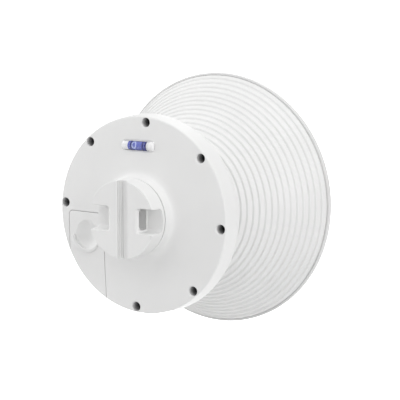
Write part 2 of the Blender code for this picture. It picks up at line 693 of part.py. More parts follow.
def make_jack(shield, contact, parent):
    half = SOCKET_WIDTH / 2
    shell = block((JACK_X[0], JACK_DEPTHS[0], JACK_Z[0]), (JACK_X[1], JACK_DEPTHS[1], JACK_Z[1]), 0.3)
    jack = place("ethernet_jack", shell, shield, parent=parent)
    socket = [(-half, SOCKET_DEPTHS[1]), (-half, SOCKET_DEPTHS[0]), (-3, SOCKET_DEPTHS[0]),
              (-3, SOCKET_DEPTHS[0] - 1.2), (3, SOCKET_DEPTHS[0] - 1.2), (3, SOCKET_DEPTHS[0]),
              (half, SOCKET_DEPTHS[0]), (half, SOCKET_DEPTHS[1])]
    socket = [(CABLE_X + x, y) for x, y in socket]
    cut(jack, prism(socket, JACK_Z[0] - 1, SOCKET_Z, "Z"), "socket")

    back = SOCKET_DEPTHS[1] - GAP
    width = 0.5
    comb = [(CABLE_X + half - GAP, back), (CABLE_X - half + GAP, back)]
    comb.append((CABLE_X - half + GAP, back - 0.6))
    for number in range(CONTACT_COUNT):
        x = CABLE_X + CONTACT_PITCH * (number - (CONTACT_COUNT - 1) / 2)
        comb += [(x - width / 2, back - 0.6), (x - width / 2, back - 1.8),
                 (x + width / 2, back - 1.8), (x + width / 2, back - 0.6)]
    comb.append((CABLE_X + half - GAP, back - 0.6))
    place("jack_contacts", prism(comb, JACK_Z[0] + 1.5, SOCKET_Z - 2, "Z"), contact, parent=parent)


def make_reset(chip, white, parent):
    front = BOARD_DEPTHS[0] - GAP
    body = block((RESET_X - 1.7, RESET_DEPTH - 2.2, 1.5), (RESET_X + 1.7, front, 6), 0.2)
    switch = place("reset_switch", body, chip, parent=parent)
    bore = rod(RESET_RADIUS + GAP, 0, RESET_Z[1] + 1, SCREW_ROUND, (0, 0, 1))
    cut(switch, shifted(bore, (RESET_X, RESET_DEPTH, 0)), "plunger_bore")
    press = empty("reset_press", (RESET_X, RESET_DEPTH, RESET_Z[0]), parent)
    length = RESET_Z[1] - RESET_Z[0]
    plunger = turned([(0, 0), (RESET_RADIUS - 0.3, 0), (RESET_RADIUS, 0.3), (RESET_RADIUS, length),
                      (0, length)], SCREW_ROUND, (0, 0, 1))
    place("reset_button", plunger, white, parent=press)


# ---------------------------------------------------------------- the whole part

def main():
    clear_scene()
    white = make_material("shell_white", (0.80, 0.80, 0.80), 0.42)
    saddle_white = make_material("saddle_white", (0.80, 0.80, 0.80), 0.42)
    cap_white = make_material("cap_white", (0.86, 0.86, 0.87), 0.35)
    rubber = make_material("seal_rubber", (0.03, 0.03, 0.03), 0.8)
    steel = make_material("screw_steel", (0.30, 0.30, 0.31), 0.35, 1.0)
    aluminium = make_material("horn_aluminium", (0.75, 0.76, 0.77), 0.3, 1.0)
    shield = make_material("shield_tinplate", (0.62, 0.62, 0.62), 0.28, 1.0)
    clear = make_material("vial_acrylic", (0.93, 0.95, 0.97), 0.05, 0.0, 0.35)
    blue = make_material("vial_blue", (0.03, 0.06, 0.42), 0.1)
    air = make_material("bubble_air", (0.75, 0.82, 0.95), 0.05, 0.0, 0.5)
    mask = make_material("board_green", (0.02, 0.13, 0.06), 0.45)
    chip = make_material("chip_black", (0.02, 0.02, 0.02), 0.5)
    gold = make_material("contact_gold", (0.83, 0.60, 0.24), 0.25, 1.0)
    led = make_material("led_lens", (0.55, 0.85, 0.60), 0.2)

    bridge = empty("wireless_bridge", (0, 0, 0))
    make_rear_cover(white, bridge)
    make_front_housing(white, bridge)
    make_body_gasket(rubber, bridge)
    make_screws(steel, bridge)
    make_pole_saddle(saddle_white, bridge)
    make_cable_cover(white, bridge)
    make_level(clear, blue, air, cap_white, bridge)
    make_horn(white, aluminium, rubber, bridge)
    make_radome(white, bridge)
    make_feed(aluminium, cap_white, bridge)
    make_board(mask, bridge)
    make_components(shield, chip, led, bridge)
    make_jack(shield, gold, bridge)
    make_reset(chip, cap_white, bridge)


main()
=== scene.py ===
"""Looks for the outdoor wireless bridge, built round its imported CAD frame.

Frame: +Y is the way the horn looks, +Z is up, +X is to the right when seen from the pole.
Shapes are worked out in millimetres and become metres when a mesh is finished.
A "depth" is a distance along +Y from the saddle's bearing face.
"""

import json
from math import asin, atan2, cos, hypot, pi, radians, sin, sqrt

import bmesh
import bpy
from mathutils import Matrix, Vector


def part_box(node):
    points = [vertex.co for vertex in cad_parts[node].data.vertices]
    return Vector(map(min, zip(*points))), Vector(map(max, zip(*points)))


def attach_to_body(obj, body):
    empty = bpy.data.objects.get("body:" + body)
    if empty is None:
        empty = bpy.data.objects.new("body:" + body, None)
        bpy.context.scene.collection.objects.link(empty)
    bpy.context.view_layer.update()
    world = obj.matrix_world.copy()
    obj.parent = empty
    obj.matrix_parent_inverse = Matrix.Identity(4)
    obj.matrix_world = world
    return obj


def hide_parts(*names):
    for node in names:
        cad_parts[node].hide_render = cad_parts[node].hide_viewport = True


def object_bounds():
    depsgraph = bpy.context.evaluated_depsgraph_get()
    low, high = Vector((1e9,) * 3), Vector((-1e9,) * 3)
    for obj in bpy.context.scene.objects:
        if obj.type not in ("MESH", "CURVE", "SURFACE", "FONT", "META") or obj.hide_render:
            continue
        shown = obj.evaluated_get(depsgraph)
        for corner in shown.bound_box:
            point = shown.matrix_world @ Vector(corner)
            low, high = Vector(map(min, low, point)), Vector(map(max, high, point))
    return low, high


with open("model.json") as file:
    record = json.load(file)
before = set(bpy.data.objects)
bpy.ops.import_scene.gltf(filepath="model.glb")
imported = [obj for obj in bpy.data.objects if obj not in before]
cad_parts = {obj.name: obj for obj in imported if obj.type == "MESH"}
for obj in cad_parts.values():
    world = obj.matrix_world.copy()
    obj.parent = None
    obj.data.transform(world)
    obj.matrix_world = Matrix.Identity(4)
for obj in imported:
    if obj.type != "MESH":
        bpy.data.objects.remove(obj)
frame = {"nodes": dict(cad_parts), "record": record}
cad_box = [list(corner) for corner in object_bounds()]

MM = 0.001
AXIS_X, AXIS_Y, AXIS_Z = (1, 0, 0), (0, 1, 0), (0, 0, 1)


def box_mm(node):
    """Lowest and highest corner of a CAD node, in millimetres."""
    low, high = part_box(node)
    return low / MM, high / MM


SADDLE_HIGH = box_mm("pole_saddle")[1]
REAR_LOW, REAR_HIGH = box_mm("rear_cover")
FRONT_LOW, FRONT_HIGH = box_mm("front_housing")
HORN_LOW, HORN_HIGH = box_mm("horn_shell")
RADOME_LOW, RADOME_HIGH = box_mm("radome")
COVER_LOW, COVER_HIGH = box_mm("cable_cover")
VIAL_LOW, VIAL_HIGH = box_mm("vial_tube")
CAP_LOW, CAP_HIGH = box_mm("vial_cap")
BUBBLE_LOW, BUBBLE_HIGH = box_mm("vial_bubble")

GAP = 0.3
FACETS = 180
FINE_FACETS = 96             # round features about 20 mm across
SMALL_FACETS = 64
SCREW_FACETS = 48
SHARP_ANGLE = 32             # degrees: sharper edges are not shaded smooth
EDGE_SOFT = 0.25             # rounding of the crisp moulded edges
SLIVER = 0.05                # overlap that keeps a cutter clear of the surface it opens

# Housing
OPEN_DEPTH = 15.0            # a cutter that starts here opens through the rear face
OPEN_RADIUS = REAR_HIGH.x + 4            # a cutter that ends here opens through the side wall
SPLIT_DEPTH = REAR_HIGH.y
SPLIT_RADIUS = REAR_HIGH.x
FACE_DEPTH = 23.6
FACE_CROWN = 3.2
FACE_RADIUS = SPLIT_RADIUS - 0.8
FACE_EDGE = 1.2
WALL = 2.4
SEAL_RADII = (56.2, 57.8)    # the wall that presses on the seal
BAND_RADIUS = FRONT_HIGH.x
FRONT_DEPTH = FRONT_HIGH.y
NOSE_RADIUS = BAND_RADIUS - 1.4
PLATE = 2.2                  # thickness of the front housing's flat front
THROAT_RADIUS = 23.5
PILOT_DEPTH = 41.3
PILOT_WALL = 1.4             # round the screws' holes in the front housing

# Saddle and collar
FOOT_RADIUS = SADDLE_HIGH.x
SADDLE_RADIUS = FOOT_RADIUS - 0.3
FOOT_DEPTH = REAR_LOW.y - GAP
SPIGOT_RADIUS = 23.4
DIAPHRAGM_DEPTH = SADDLE_HIGH.y + GAP
COLLAR_RADIUS = 27.0
COLLAR_LIP_DEPTH = 18.9
COLLAR_FOOT_RADIUS = 32.0
FLARE_PULL = (0.9, 0.35)     # how far the flare's curve is pulled out of the collar's corner
SEAM = 0.28                  # how far each side of the saddle's joint is drawn back
GROOVE_STEPS = 4
GROOVE_STEP = (0.92, 0.62)   # width and depth of one step
GROOVE_FLOOR = 2.7
GROOVE_LEAN = 0.15           # draft of each step's wall
GROOVE_NICK = (0.26, 0.42)   # width and depth of the relief at the foot of each step
SADDLE_OFFSET = 1.3          # the groove and the strap's way sit to +X of the block's axis
SLOT_X = 11.7                # inner end of each strap pocket
SLOT_Z = (-7.8, 8.3)
SLOT_LIP = 2.4
SLOT_CORNER = 1.8
POCKET_FILLET = 2.2
STRAP_ROOF = (2.1, 5.2)      # depth of the passage's roof at its ends and in its middle
STRAP_FLOOR = (9.6, 11.0)    # depth of a pocket's floor at its inner end and at the block's side
PASSAGE_FLOOR = 10.4
PASSAGE_Z = (-6.5, 8.0)
PASSAGE_END = SLOT_X + 0.9
PASSAGE_CORNERS = (3.6, 1.7)             # rounding at the roof and at the floor

# Case screws and their wells
WELL_RADIUS = 3.15
WELL_MOUTH = 0.35
WELL_WALL = 0.75
WELL_DEPTH = 34.6
WELL_PAINTED_SHADE = (0.0236, 0.0325)             # depths in metres between which a painted shade darkens a well's wall
SHANK_RADIUS = 1.45
SHANK_LENGTH = 6.4
HEAD_RADIUS = 2.7
HEAD_HEIGHT = 2.0
THREAD_PITCH = 0.6
THREAD_DEPTH = 0.25
LOBE_RADIUS = 1.18           # six-lobed recess: its mean radius, the lobes' swell and its depth
LOBE_SWELL = 0.2
RECESS_DEPTH = 1.2
SCREW_TURN = 17              # degrees from each screw to the next
SCREW_NODES = [f"rear_screw_{i}" for i in range(1, 9)]

# Cable bay and its cover
COVER_X = (COVER_LOW.x, COVER_HIGH.x)
COVER_TOP = COVER_HIGH.z
COVER_CORNER = 3.0
COVER_COLLAR_RADIUS = 31.5
COVER_SEAT_DEPTH = 25.4
COVER_SKIRT_DEPTH = COVER_HIGH.y
COVER_SKIRT_X = (-57.0, -31.6)
COVER_FLANGE_DEPTH = 32.0
BAY_MARGIN = 1.2
BAY_WALL = 1.4
BAY_FLOOR_DEPTH = 34.6
BAY_ANGLES = (200, 240)      # the well between these angles opens in the bay and has no boss
SKIRT_GAP_TOP = -28.0
DISH_XZ = (-43.8, -16.4)
DISH_RADIUS = 9.6
DISH_DEPTH = 3.7
LIP_RADII = (9.8, 12.4)
LIP_ANGLES = (183.0, 323.0)
LIP_HEIGHT = 1.05
CABLE_X = -45.0
CABLE_DEPTH = 30.1
CABLE_HOLE_RADIUS = 3.5
CABLE_HOLE_TOP = -36.0
JACK_HALF_WIDTH = 6.35
JACK_REAR_DEPTH = 26.8
BUTTON_HOLE_RADIUS = 1.5
BUTTON_HOLE_Z = (-4, 1)

# Spirit level
VIAL_RADIUS = (VIAL_HIGH.z - VIAL_LOW.z) / 2
VIAL_Z = (VIAL_HIGH.z + VIAL_LOW.z) / 2
LEVEL_PROUD = 0.8            # the level stands this much further out than the CAD's
LEVEL_ASIDE = 0.8            # the level and its recess sit this far to +X of the CAD's
VIAL_DEPTH = (VIAL_HIGH.y + VIAL_LOW.y) / 2 - LEVEL_PROUD
VIAL_X = (VIAL_LOW.x + LEVEL_ASIDE, CAP_HIGH.x + LEVEL_ASIDE)
LEVEL_RINGS = ((-6.6, 0.45), (2.7, 0.5), (5.0, 0.6))     # middle and half width of each mark
NOSE = 2.7                   # rounding of the level's two ends
RECESS_SOFT = 0.6            # rounding of the level's recess
TUB_WALL = 1.5
TUB_FLOOR = 1.8
BUBBLE_SKIN = (3.0, 3.06)    # radii between which the bubble's skin is drawn
BUBBLE_TURN = 14             # degrees that the bubble is seen above the level's waist
BED_DEPTHS = (22.25, 24.4)   # white compound that the tube lies in
BED_PLAY = (1.006, 1.001)    # the bed's hollow is this much wider and longer than the tube
BORE_RADIUS = 3.12
BORE_INSET = 3.4             # from the tube's round end to the start of its bore
BUBBLE_SIZE = (1.85, 51)     # half length, and half width in degrees round the tube
HEART_SIZE = (1.05, 34)      # the same of the darker core seen in the bubble

# Horn
RIM_SWELL = 0.4              # how far the rim's rounded edge stands past the CAD's straight one
RIM_RADIUS = RADOME_HIGH.x + RIM_SWELL
RIM_DEPTH = RADOME_LOW.y
RIM_FRONT = 125.3
TOTAL_DEPTH = RADOME_HIGH.y + RIM_SWELL
RIB_COUNT = 22
RIB_PITCH = (2.86, 3.5)      # each terrace is this much narrower and this deep
RIB_WALL = 1.26
RIB_START = (HORN_HIGH.x, 120.95)
MOUTH_LIP_DEPTH = HORN_HIGH.y
HORN_WALL = 2.07
HORN_BORE = 24.0
HORN_FOOT = (34.0, 1.6)      # radius and height of the flange at the horn's foot
RADOME_WALL = 2.0
RADOME_SHELF = 123.2         # where the radome's inside meets the horn's mouth
RADOME_EDGE = 0.9            # rounding of the rim's front edge

# Camera, floor and lights, in metres and degrees
CAMERA_PLACE = (0.603386, -0.856598, 0.164184)
CAMERA_AZIMUTH = 32.33
CAMERA_ELEVATION = 8.21
LENS = 146.2346              # millimetres, for a sensor 36 mm wide
FLOOR_DROP = 0.35            # the floor lies this far below the object
CARD_DROP = 0.002            # and the card this far below the floor
SHEET_RADIUS = 60.0          # of the floor and of the card
WORLD_STRENGTH = 0.67
LIGHTS = [                   # name, place, diameter, watts
    ("top_box", (0.2, -0.1, 1.7), 1.6, 5),
    ("high_box", (-0.3, -1.2, 1.5), 1.4, 5.4),
    ("right_box", (1.7, -0.45, 0.5), 1.4, 11),
    ("far_box", (1.6, 1.2, 0.8), 1.4, 0.5),
    ("left_box", (-1.7, -0.2, 0.6), 1.4, 12.8),
    ("front_box", (-0.4, 1.9, 0.7), 1.4, 9),
]
LIGHT_TARGET = (0, 0.05, 0)  # every light points here


# ---------------------------------------------------------------- mesh helpers

def replace_mesh(obj):
    """Bake the object's modifiers into a plain mesh of its own."""
    graph = bpy.context.evaluated_depsgraph_get()
    result = bpy.data.meshes.new_from_object(obj.evaluated_get(graph), depsgraph=graph)
    obj.modifiers.clear()
    result.name = obj.name
    old = obj.data
    obj.data = result
    bpy.data.meshes.remove(old)


def shade(mesh):
    """Smooth, except at the sharp edges."""
    mesh.shade_smooth()
    mesh.set_sharp_from_angle(angle=radians(SHARP_ANGLE))


def finish_mesh(name, bm, materials=()):
    """A new object in metres from a mesh in millimetres."""
    bmesh.ops.recalc_face_normals(bm, faces=bm.faces)
    bmesh.ops.scale(bm, vec=(MM, MM, MM), verts=bm.verts)
    mesh = bpy.data.meshes.new(name)
    bm.to_mesh(mesh)
    bm.free()
    for material in materials:
        mesh.materials.append(material)
    shade(mesh)
    obj = bpy.data.objects.new(name, mesh)
    bpy.context.scene.collection.objects.link(obj)
    return obj


def carve(target, bm, operation="DIFFERENCE"):
    """Cut or join another mesh, and keep the result as a plain mesh."""
    cutter = finish_mesh("cutter", bm)
    modifier = target.modifiers.new("carve", "BOOLEAN")
    modifier.operation = operation
    modifier.solver = "EXACT"
    modifier.object = cutter
    replace_mesh(target)
    bpy.data.objects.remove(cutter)
    shade(target.data)


def even_shading(obj):
    """Let the large faces rule the shading, so that flats stay flat beside small rounded edges."""
    modifier = obj.modifiers.new("even", "WEIGHTED_NORMAL")
    modifier.keep_sharp = True
    modifier.weight = 90
    replace_mesh(obj)


def attach(obj, body, slot, *nodes):
    """Let a piece ride on a body, in place of the CAD nodes it replaces. The slot argument is not used.
    """
    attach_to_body(obj, body)
    if nodes:
        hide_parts(*nodes)


def soften(points, radii, steps=3, closed=False):
    """Round the corners of an outline. There is one radius per point, and 0 leaves it sharp."""
    count = len(points)
    result = []
    for i, point in enumerate(points):
        here = Vector(point)
        if radii[i] <= 0 or (not closed and i in (0, count - 1)):
            result.append(tuple(here))
            continue
        before = Vector(points[i - 1]) - here
        after = Vector(points[(i + 1) % count]) - here
        turn = pi - before.angle(after)
        reach = radii[i] * abs(sin(turn / 2) / cos(turn / 2)) if turn < 3.1 else radii[i]
        reach = min(reach, 0.45 * before.length, 0.45 * after.length)
        if turn < 0.02 or reach < 1e-4:
            result.append(tuple(here))
            continue
        start = here + before.normalized() * reach
        end = here + after.normalized() * reach
        for k in range(steps + 1):
            s = k / steps
            result.append(tuple((1 - s) ** 2 * start + 2 * s * (1 - s) * here + s * s * end))
    return result


def turned(profile, facets=FACETS, along=AXIS_Y):
    """Spin (radius, height) points about an axis."""
    bm = bmesh.new()
    verts = [bm.verts.new((radius, height, 0)) for radius, height in profile]
    pairs = list(zip(verts, verts[1:]))
    if profile[0][0] > 0 or profile[-1][0] > 0:
        pairs.append((verts[-1], verts[0]))
    edges = [bm.edges.new(pair) for pair in pairs]
    bmesh.ops.spin(bm, geom=verts + edges, cent=(0, 0, 0), axis=AXIS_Y, angle=2 * pi,
                   steps=facets, use_merge=True)
    bmesh.ops.remove_doubles(bm, verts=bm.verts, dist=1e-4)
    turn = Vector(AXIS_Y).rotation_difference(Vector(along)).to_matrix()
    bmesh.ops.rotate(bm, cent=(0, 0, 0), matrix=turn, verts=bm.verts)
    return bm


def rod(radius, low, high, facets=32, along=AXIS_Y):
    return turned([(0, low), (radius, low), (radius, high), (0, high)], facets, along)


def loft(rings):
    """Skin a stack of rings with equal numbers of points, and close both ends."""
    bm = bmesh.new()
    rows = [[bm.verts.new(point) for point in ring] for ring in rings]
    for a, b in zip(rows, rows[1:]):
        for i in range(len(a)):
            j = (i + 1) % len(a)
            bm.faces.new((a[i], a[j], b[j], b[i]))
    bm.faces.new(rows[0])
    bm.faces.new(rows[-1])
    return bm


def flat_ring(outline, depth):
    """The outline laid flat at one depth."""
    return [(x, depth, z) for x, z in outline]


def face_ring(outline, offset):
    """The outline laid on the crowned rear face, and moved inward by offset."""
    return [(x, face_depth(hypot(x, z)) + offset, z) for x, z in outline]


def prism(outline, low, high):
    return loft([flat_ring(outline, low), flat_ring(outline, high)])


def block(low, high):
    bm = bmesh.new()
    size = Vector(high) - Vector(low)
    middle = (Vector(high) + Vector(low)) / 2
    bmesh.ops.create_cube(bm, size=1, matrix=Matrix.LocRotScale(middle, None, size))
    return bm


def shifted(bm, offset):
    bmesh.ops.translate(bm, vec=offset, verts=bm.verts)
    return bm


def gather(meshes):
    """Several separate closed meshes as one."""
    whole = bmesh.new()
    for bm in meshes:
        bmesh.ops.recalc_face_normals(bm, faces=bm.faces)
        part = bpy.data.meshes.new("part")
        bm.to_mesh(part)
        bm.free()
        whole.from_mesh(part)
        bpy.data.meshes.remove(part)
    return whole


def arc(centre, radius, start, end, steps):
    """Points along an arc between two angles in degrees."""
    angles = [radians(start + (end - start) * i / steps) for i in range(steps + 1)]
    return [(centre[0] + radius * cos(a), centre[1] + radius * sin(a)) for a in angles]


def angle_of(x, z):
    return atan2(z, x) * 180 / pi % 360


def subdivided(outline, parts):
    """Each side of a closed outline cut into equal parts."""
    result = []
    for i, (x0, z0) in enumerate(outline):
        x1, z1 = outline[(i + 1) % len(outline)]
        result += [(x0 + (x1 - x0) * k / parts, z0 + (z1 - z0) * k / parts) for k in range(parts)]
    return result


def face_depth(radius):
    """Depth of the crowned rear face at a distance from its middle."""
    return FACE_DEPTH - FACE_CROWN * (1 - (radius / FACE_RADIUS) ** 2)


def face_profile(start, steps=14):
    """The crown from a start radius outward, and the rounded edge of the face."""
    end = FACE_RADIUS - FACE_EDGE
    crown = [start + (end - start) * i / steps for i in range(steps)]
    points = [(radius, face_depth(radius)) for radius in crown]
    return points + arc((end, face_depth(end) + FACE_EDGE), FACE_EDGE, -90, 0, 7)


def wall_radius(depth):
    """Radius of the rear cover's drafted side wall."""
    top = FACE_DEPTH + FACE_EDGE
    return FACE_RADIUS + (SPLIT_RADIUS - FACE_RADIUS) * (depth - top) / (SPLIT_DEPTH - top)


def box_middle(node):
    low, high = box_mm(node)
    return [(a + b) / 2 for a, b in zip(low, high)]


def screw_centres():
    middles = [box_middle(node) for node in SCREW_NODES]
    return [(x, z) for x, _, z in middles]


# ---------------------------------------------------------------- materials

def set_inputs(node, values):
    """Set input values by name, where a keyword's underscores stand for spaces."""
    for name, value in values.items():
        node.inputs[name.replace("_", " ")].default_value = value


class Nodes:
    """A Principled material under construction."""

    def __init__(self, name, **values):
        self.material = bpy.data.materials.new(name)
        self.material.use_nodes = True
        self.tree = self.material.node_tree
        self.shader = self.tree.nodes["Principled BSDF"]
        self.coords = self.tree.nodes.new("ShaderNodeTexCoord").outputs["Object"]
        set_inputs(self.shader, values)

    def add(self, kind, **values):
        """A new node with its input values set."""
        node = self.tree.nodes.new(kind)
        set_inputs(node, values)
        return node

    def noise(self, scale, detail=2.0, stretch=None):
        """Noise in the object's own space, finer along an axis where stretch is larger."""
        node = self.add("ShaderNodeTexNoise", Scale=scale, Detail=detail)
        source = self.coords
        if stretch:
            mapping = self.add("ShaderNodeMapping", Scale=stretch)
            self.tree.links.new(source, mapping.inputs["Vector"])
            source = mapping.outputs["Vector"]
        self.tree.links.new(source, node.inputs["Vector"])
        return node.outputs["Fac"]

    def colour(self, source, dark, light, low=0.35, high=0.65):
        """Base colour from one tone to another as the source goes from low to high."""
        ramp = self.add("ShaderNodeValToRGB")
        ramp.color_ramp.elements[0].position = low
        ramp.color_ramp.elements[0].color = (*dark, 1)
        ramp.color_ramp.elements[1].position = high
        ramp.color_ramp.elements[1].color = (*light, 1)
        self.tree.links.new(source, ramp.inputs["Fac"])
        self.tree.links.new(ramp.outputs["Color"], self.shader.inputs["Base Color"])

    def roughness(self, source, low, high):
        node = self.add("ShaderNodeMapRange", From_Min=0.3, From_Max=0.7, To_Min=low, To_Max=high)
        self.tree.links.new(source, node.inputs["Value"])
        self.tree.links.new(node.outputs["Result"], self.shader.inputs["Roughness"])

    def bump(self, source, strength, distance):
        node = self.add("ShaderNodeBump", Strength=strength, Distance=distance)
        self.tree.links.new(source, node.inputs["Height"])
        self.tree.links.new(node.outputs["Normal"], self.shader.inputs["Normal"])


def tinted(value, tint):
    return tuple(value * t for t in tint)


def moulded(name, value, roughness=(0.38, 0.5), tint=(1.0, 1.0, 0.995), grain=0.12):
    """Moulded plastic: a fine spark-eroded grain, with faint flow clouds in tone and gloss."""
    spread = 0.012
    nodes = Nodes(name, Specular_IOR_Level=0.45)
    clouds = nodes.noise(28, 3.0)
    nodes.colour(clouds, tinted(value - spread, tint), tinted(value + spread, tint))
    nodes.roughness(nodes.noise(60), *roughness)
    nodes.bump(nodes.noise(2600), grain, 0.00004)
    return nodes.material


def well_wall_painted_shade():
    """The shell's plastic inside a screw well, with painted shade: its colour darkens towards the
    bottom, where little light gets in.
    """
    nodes = Nodes("well_painted_shade", Specular_IOR_Level=0.2)
    split = nodes.add("ShaderNodeSeparateXYZ")
    nodes.tree.links.new(nodes.coords, split.inputs["Vector"])
    depth = nodes.add("ShaderNodeMapRange", From_Min=WELL_PAINTED_SHADE[0], From_Max=WELL_PAINTED_SHADE[1])
    nodes.tree.links.new(split.outputs["Y"], depth.inputs["Value"])
    mottled_painted_shade = nodes.add("ShaderNodeMath")
    mottled_painted_shade.operation = "MULTIPLY_ADD"
    mottled_painted_shade.inputs[1].default_value = 0.12         # how much the noise breaks up the painted shade
    nodes.tree.links.new(nodes.noise(400, 3.0), mottled_painted_shade.inputs[0])
    nodes.tree.links.new(depth.outputs["Result"], mottled_painted_shade.inputs[2])
    # painted shade: the wall's colour runs from the shell's white near the mouth to near black deep in
    # the well
    nodes.colour(mottled_painted_shade.outputs["Value"], (0.80, 0.80, 0.80), (0.055, 0.055, 0.06), 0.05, 1.0)
    nodes.roughness(nodes.noise(60), 0.6, 0.75)
    return nodes.material


def grained(name, noise, dark, light, roughness, bump=None, ramp=(0.35, 0.65), **values):
    """One noise drives the tone, the gloss and, where bump is given, the relief."""
    nodes = Nodes(name, **values)
    grain = nodes.noise(*noise)
    nodes.colour(grain, dark, light, *ramp)
    nodes.roughness(grain, *roughness)
    if bump:
        nodes.bump(grain, *bump)
    return nodes.material


def metal(name, dark, light, roughness, stretch, relief=0.15):
    """Rolled or turned metal, with brushing along one way."""
    return grained(name, (240, 3.0, stretch), dark, light, roughness, (relief, 0.00005), (0.3, 0.7),
                   Metallic=1.0)


def make_materials():
    """Every material by its name."""
    return {
        "shell_white": moulded("shell_white", 0.80),
        "horn_white": moulded("horn_white", 0.80, (0.42, 0.54)),
        "saddle_white": moulded("saddle_white", 0.80, (0.4, 0.52)),
        "radome_white": moulded("radome_white", 0.72, (0.42, 0.54)),
        "cap_white": moulded("cap_white", 0.86, (0.25, 0.34), (1, 1, 1.005), 0.04),
        # the wells' walls, with painted shade
        "well_painted_shade": well_wall_painted_shade(),
        "seal_rubber": grained(
            "seal_rubber", (900, 3.0), (0.014, 0.014, 0.015), (0.035, 0.035, 0.036), (0.7, 0.9),
            (0.3, 0.00008), Specular_IOR_Level=0.3),
        "screw_steel": metal(
            "screw_steel", (0.16, 0.16, 0.17), (0.30, 0.30, 0.31), (0.3, 0.42), (1, 6, 1)),
        "horn_aluminium": metal(
            "horn_aluminium", (0.66, 0.67, 0.68), (0.82, 0.83, 0.84), (0.22, 0.36), (1, 8, 1)),
        "shield_tinplate": metal(
            "shield_tinplate", (0.52, 0.52, 0.52), (0.70, 0.70, 0.69), (0.2, 0.34), (6, 1, 1), 0.1),
        "vial_acrylic": grained(
            "vial_acrylic", (420,), (0.80, 0.84, 0.92), (0.92, 0.94, 0.99), (0.04, 0.1),
            Alpha=0.07, Specular_IOR_Level=0.5),
        "vial_blue": grained(
            "vial_blue", (90, 3.0), (0.036, 0.055, 0.38), (0.062, 0.092, 0.50), (0.06, 0.12),
            Specular_IOR_Level=0.3),
        "bubble_air": grained(
            "bubble_air", (700,), (0.36, 0.43, 0.80), (0.50, 0.58, 0.90), (0.04, 0.1),
            Specular_IOR_Level=0.6),
        "ring_ink": grained(
            "ring_ink", (1500,), (0.016, 0.018, 0.12), (0.03, 0.032, 0.19), (0.3, 0.45),
            Specular_IOR_Level=0.5),
        "board_green": grained(
            "board_green", (700, 3.0, (1, 1, 1.6)), (0.012, 0.10, 0.045), (0.025, 0.16, 0.075),
            (0.35, 0.5), (0.15, 0.00005), Coat_Weight=0.4),
        "chip_black": grained(
            "chip_black", (1800,), (0.012, 0.012, 0.013), (0.028, 0.028, 0.029), (0.45, 0.6),
            (0.25, 0.00005), Specular_IOR_Level=0.4),
        "contact_gold": metal(
            "contact_gold", (0.72, 0.50, 0.18), (0.88, 0.66, 0.30), (0.18, 0.3), (1, 1, 8), 0.08),
        "led_lens": grained(
            "led_lens", (1200,), (0.48, 0.78, 0.54), (0.60, 0.90, 0.66), (0.15, 0.3),
            Specular_IOR_Level=0.5, Transmission_Weight=0.3),
    }


def dress_cad_nodes(materials):
    """Every CAD node takes the detailed material of its slot."""
    slots = {row["node"]: row["material_slot"] for row in frame["record"]["subparts"]}
    for name, obj in frame["nodes"].items():
        for slot in obj.material_slots:
            slot.material = materials[slots[name]]


# ---------------------------------------------------------------- housing

def cover_outline(inset, rim):
    """The cable cover as seen from behind, drawn in by inset, out to the circle of radius rim."""
    left = COVER_X[0] + inset
    right = COVER_X[1] - inset
    top = COVER_TOP - inset
    hub = COVER_COLLAR_RADIUS + inset
    corner = max(COVER_CORNER - inset, 0.5)
    outline = arc((left + corner, top - corner), corner, 180, 90, 5)
    hub_start = angle_of(-sqrt(hub ** 2 - top ** 2), top)
    hub_end = angle_of(right, -sqrt(hub ** 2 - right ** 2))
    outline += arc((0, 0), hub, hub_start, hub_end, 5)
    rim_start = angle_of(right, -sqrt(rim ** 2 - right ** 2))
    rim_end = angle_of(left, -sqrt(rim ** 2 - left ** 2))
    outline += arc((0, 0), rim, rim_start, rim_end, 10)
    return subdivided(outline, 6)


def level_outline(margin):
    """The level as seen from behind, with a margin all round."""
    half = VIAL_RADIUS + margin
    low, high = VIAL_X[0] - margin, VIAL_X[1] + margin
    corner = NOSE + 0.3 + margin
    outline = []
    for x, z, start in ((high - corner, half - corner, 0), (low + corner, half - corner, 90),
                        (low + corner, corner - half, 180), (high - corner, corner - half, 270)):
        outline += arc((x, VIAL_Z + z), corner, start, start + 90, 6)
    return outline


def cable_hole():
    """The way out for the cable, through the lower edge of the cover and the housing."""
    hole = rod(CABLE_HOLE_RADIUS, -SPLIT_RADIUS - 8, CABLE_HOLE_TOP, 40, AXIS_Z)
    return shifted(hole, (CABLE_X, CABLE_DEPTH, 0))


def collar_flare(foot, steps=18):
    """From the collar's edge in a hollow curve that runs out level with the face."""
    start = Vector((COLLAR_RADIUS, COLLAR_LIP_DEPTH))
    end = Vector((foot, face_depth(foot)))
    pull = Vector((COLLAR_RADIUS + FLARE_PULL[0], end.y - FLARE_PULL[1]))
    curve = []
    for i in range(1, steps + 1):
        s = i / steps
        curve.append(tuple((1 - s) ** 2 * start + 2 * s * (1 - s) * pull + s * s * end))
    return curve


